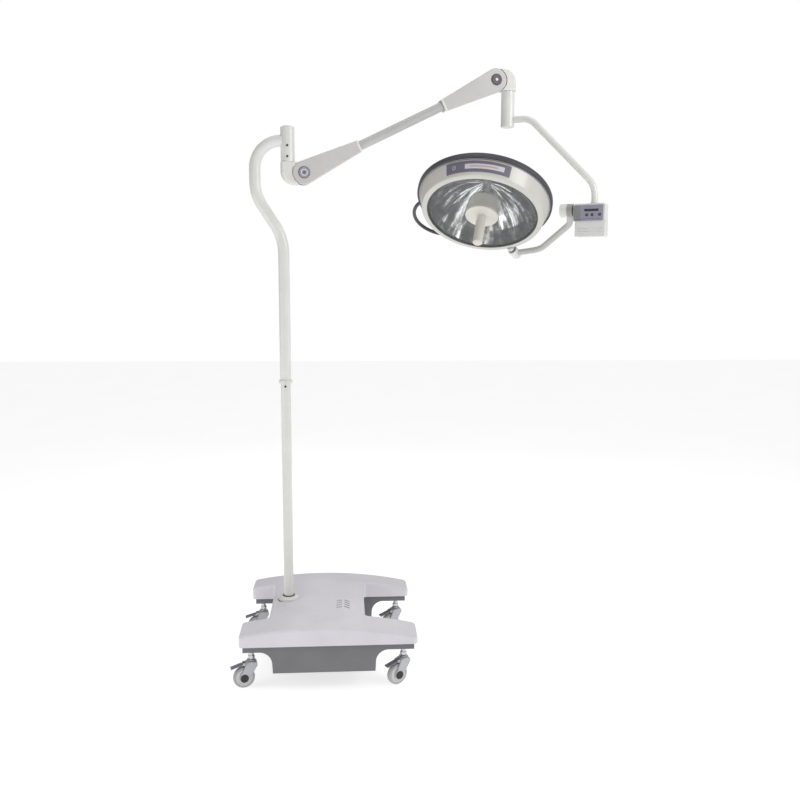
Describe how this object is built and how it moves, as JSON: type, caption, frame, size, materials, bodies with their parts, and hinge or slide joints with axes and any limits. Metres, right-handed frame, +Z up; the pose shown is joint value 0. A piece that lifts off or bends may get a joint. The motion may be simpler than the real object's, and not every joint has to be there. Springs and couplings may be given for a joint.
{
  "type": "mobile surgical light",
  "caption": "Castored H-shaped base with an S-bent mast, balanced spring arm and gimbal yoke carrying a round halogen examination lamp.",
  "frame": {"origin": "on the mast's axis, at floor level", "axes": "+Z up; +X from the mast towards the long side of the base, under the lamp; +Y towards the rear beam"},
  "size_m": [1.4313, 0.8115, 2.3053],
  "materials": {
    "base_white": "satin moulded cover",
    "base_grey": "fine-grained moulding",
    "frame_steel": "mill finish",
    "cast_weight": "painted casting",
    "copper_winding": "enamelled winding",
    "black_plastic": "matt moulding",
    "white_paint": "semi-gloss powder coat",
    "white_plastic": "semi-gloss moulding",
    "bush_grey": "turned acetal",
    "bush_dark": "turned acetal",
    "zinc": "bright zinc plate",
    "black_steel": "black oxide",
    "grey_cap": "satin moulding",
    "spring_steel": "oiled spring wire",
    "panel_grey": "membrane front plate",
    "circuit_green": "solder mask",
    "key_dark": "satin key",
    "dome_paint": "semi-gloss powder coat",
    "bumper_rubber": "smooth rubber",
    "bezel_cream": "satin moulding",
    "label_grey": "smooth plate",
    "front_glass": "clear float glass",
    "reflector_chrome": "faceted bright aluminium",
    "housing_cream": "satin moulding",
    "filter_glass": "coated borosilicate",
    "handle_charcoal": "satin coated bar",
    "handle_cream": "satin moulding",
    "ceramic": "unglazed ceramic",
    "lamp_glass": "quartz capsule",
    "caster_grey": "satin moulding",
    "caster_tyre": "grey rubber tyre",
    "pedal_grey": "fine-grained moulding"
  },
  "bodies": {
    "base": {"base_shell": "base_white", "base_skirt": "base_grey", "base_frame": "frame_steel", "counterweight": "cast_weight", "transformer": "copper_winding", "power_inlet": "black_plastic", "mast_collar": "white_paint", "mast_lower": "white_paint", "mast_ring": "white_paint", "mast_upper": "white_paint", "sleeve_bushes": "bush_grey", "caster_stems": "zinc", "set_screws": "black_steel"},
    "rocker": {"mains_rocker": "black_plastic"},
    "lower_elbow": {"elbow_lower": "white_paint"},
    "arm": {"arm_tube": "white_paint", "arm_cover_lower": "white_plastic", "arm_cover_upper": "white_plastic", "pivot_pins": "grey_cap", "balance_spring": "spring_steel"},
    "link": {"level_rod": "zinc"},
    "upper_elbow": {"elbow_upper": "white_paint"},
    "yoke": {"yoke_upper_arm": "white_paint", "yoke_bushes": "bush_dark", "control_box": "white_plastic", "control_panel": "panel_grey", "control_base": "white_plastic", "control_board": "circuit_green"},
    "minus_key": {"button_minus": "key_dark"},
    "plus_key": {"button_plus": "key_dark"},
    "power_key": {"button_power": "key_dark"},
    "lower_yoke": {"tilt_knuckle": "white_paint", "yoke_lower_arm": "white_paint", "head_knuckle": "white_paint", "head_bush": "bush_dark"},
    "head": {"head_dome": "dome_paint", "bumper_ring": "bumper_rubber", "front_bezel": "bezel_cream", "label_plate": "label_grey", "glass": "front_glass", "reflector": "reflector_chrome", "lamp_housing": "housing_cream", "heat_filter": "filter_glass", "side_handle": "handle_charcoal", "head_stud": "zinc"},
    "handle": {"focus_handle": "handle_cream"},
    "bulb": {"lamp_holder": "ceramic", "halogen_lamp": "lamp_glass"},
    "fork_front_left": {"caster_front_left_fork": "caster_grey"},
    "wheel_front_left": {"caster_front_left_wheel": "caster_tyre"},
    "pedal_front_left": {"caster_front_left_pedal": "pedal_grey"},
    "fork_front_right": {"caster_front_right_fork": "caster_grey"},
    "wheel_front_right": {"caster_front_right_wheel": "caster_tyre"},
    "pedal_front_right": {"caster_front_right_pedal": "pedal_grey"},
    "fork_rear_left": {"caster_rear_left_fork": "caster_grey"},
    "wheel_rear_left": {"caster_rear_left_wheel": "caster_tyre"},
    "pedal_rear_left": {"caster_rear_left_pedal": "pedal_grey"},
    "fork_rear_right": {"caster_rear_right_fork": "caster_grey"},
    "wheel_rear_right": {"caster_rear_right_wheel": "caster_tyre"},
    "pedal_rear_right": {"caster_rear_right_pedal": "pedal_grey"}
  },
  "joints": [
    {"name": "arm_swivel", "type": "hinge", "parent": "base", "child": "lower_elbow", "pos_m": [0.02, 0, 1.888], "axis": [0, 0, 1], "range_deg": [-150, 130]},
    {"name": "arm_pitch", "type": "hinge", "parent": "lower_elbow", "child": "arm", "pos_m": [0.07613, 0.0099, 1.888], "axis": [0.1736, -0.9848, 0], "range_deg": [-66, 13]},
    {"name": "level_link", "type": "hinge", "parent": "lower_elbow", "child": "link", "pos_m": [0.07613, 0.0099, 1.8995], "axis": [0.1736, -0.9848, 0], "range_deg": [-66, 13]},
    {"name": "arm_level", "type": "hinge", "parent": "arm", "child": "upper_elbow", "pos_m": [0.81229, 0.1397, 2.26233], "axis": [0.1736, -0.9848, 0], "range_deg": [-13, 66]},
    {"name": "yoke_swivel", "type": "hinge", "parent": "upper_elbow", "child": "yoke", "pos_m": [0.86843, 0.1496, 2.22433], "axis": [0, 0, 1], "range_deg": [-160, 160]},
    {"name": "yoke_tilt", "type": "hinge", "parent": "yoke", "child": "lower_yoke", "pos_m": [0.78182, 0.1996, 1.76133], "axis": [0.866, -0.5, 0], "range_deg": [-60, 60]},
    {"name": "head_tilt", "type": "hinge", "parent": "lower_yoke", "child": "head", "pos_m": [0.78182, 0.1996, 1.76133], "axis": [0.6028, 0.618, -0.5047], "range_deg": [-60, 60]},
    {"name": "handle_turn", "type": "hinge", "parent": "head", "child": "handle", "pos_m": [0.78182, 0.1996, 1.76133], "axis": [-0.205, -0.4913, -0.8465], "range_deg": [-120, 120]},
    {"name": "bulb_focus", "type": "slide", "parent": "head", "child": "bulb", "axis": [0.205, 0.4913, 0.8465], "range_m": [-0.006, 0.006]},
    {"name": "mains_switch", "type": "hinge", "parent": "base", "child": "rocker", "pos_m": [0.111, 0.289, 0.12], "axis": [1, 0, 0], "range_deg": [-14, 0]},
    {"name": "minus_press", "type": "slide", "parent": "yoke", "child": "minus_key", "axis": [0.5, 0.866, 0], "range_m": [0, 0.0012], "stiffness_N_per_m": 300},
    {"name": "plus_press", "type": "slide", "parent": "yoke", "child": "plus_key", "axis": [0.5, 0.866, 0], "range_m": [0, 0.0012], "stiffness_N_per_m": 300},
    {"name": "power_press", "type": "slide", "parent": "yoke", "child": "power_key", "axis": [0.5, 0.866, 0], "range_m": [0, 0.0012], "stiffness_N_per_m": 300},
    {"name": "swivel_front_left", "type": "hinge", "parent": "base", "child": "fork_front_left", "pos_m": [-0.125, -0.243, 0], "axis": [0, 0, 1], "continuous": true},
    {"name": "roll_front_left", "type": "hinge", "parent": "fork_front_left", "child": "wheel_front_left", "pos_m": [-0.15205, -0.25025, 0.04], "axis": [0.2588, -0.9659, 0], "continuous": true},
    {"name": "brake_front_left", "type": "hinge", "parent": "fork_front_left", "child": "pedal_front_left", "pos_m": [-0.15205, -0.25025, 0.091], "axis": [0.2588, -0.9659, 0], "range_deg": [0, 5]},
    {"name": "swivel_front_right", "type": "hinge", "parent": "base", "child": "fork_front_right", "pos_m": [0.438, -0.243, 0], "axis": [0, 0, 1], "continuous": true},
    {"name": "roll_front_right", "type": "hinge", "parent": "fork_front_right", "child": "wheel_front_right", "pos_m": [0.41375, -0.257, 0.04], "axis": [0.5, -0.866, 0], "continuous": true},
    {"name": "brake_front_right", "type": "hinge", "parent": "fork_front_right", "child": "pedal_front_right", "pos_m": [0.41375, -0.257, 0.091], "axis": [0.5, -0.866, 0], "range_deg": [0, 5]},
    {"name": "swivel_rear_left", "type": "hinge", "parent": "base", "child": "fork_rear_left", "pos_m": [-0.125, 0.243, 0], "axis": [0, 0, 1], "continuous": true},
    {"name": "roll_rear_left", "type": "hinge", "parent": "fork_rear_left", "child": "wheel_rear_left", "pos_m": [-0.15239, 0.23718, 0.04], "axis": [0.2079, -0.9781, 0], "continuous": true},
    {"name": "brake_rear_left", "type": "hinge", "parent": "fork_rear_left", "child": "pedal_rear_left", "pos_m": [-0.15239, 0.23718, 0.091], "axis": [0.2079, -0.9781, 0], "range_deg": [0, 5]},
    {"name": "swivel_rear_right", "type": "hinge", "parent": "base", "child": "fork_rear_right", "pos_m": [0.438, 0.243, 0], "axis": [0, 0, 1], "continuous": true},
    {"name": "roll_rear_right", "type": "hinge", "parent": "fork_rear_right", "child": "wheel_rear_right", "pos_m": [0.41305, 0.23029, 0.04], "axis": [0.454, -0.891, 0], "continuous": true},
    {"name": "brake_rear_right", "type": "hinge", "parent": "fork_rear_right", "child": "pedal_rear_right", "pos_m": [0.41305, 0.23029, 0.091], "axis": [0.454, -0.891, 0], "range_deg": [0, 5]}
  ],
  "couplings": [
    {"joint": "level_link", "follows": "arm_pitch", "ratio": 1},
    {"joint": "arm_level", "follows": "arm_pitch", "ratio": -1},
    {"joint": "handle_turn", "follows": "bulb_focus", "rad_per_m": 349.07}
  ]
}
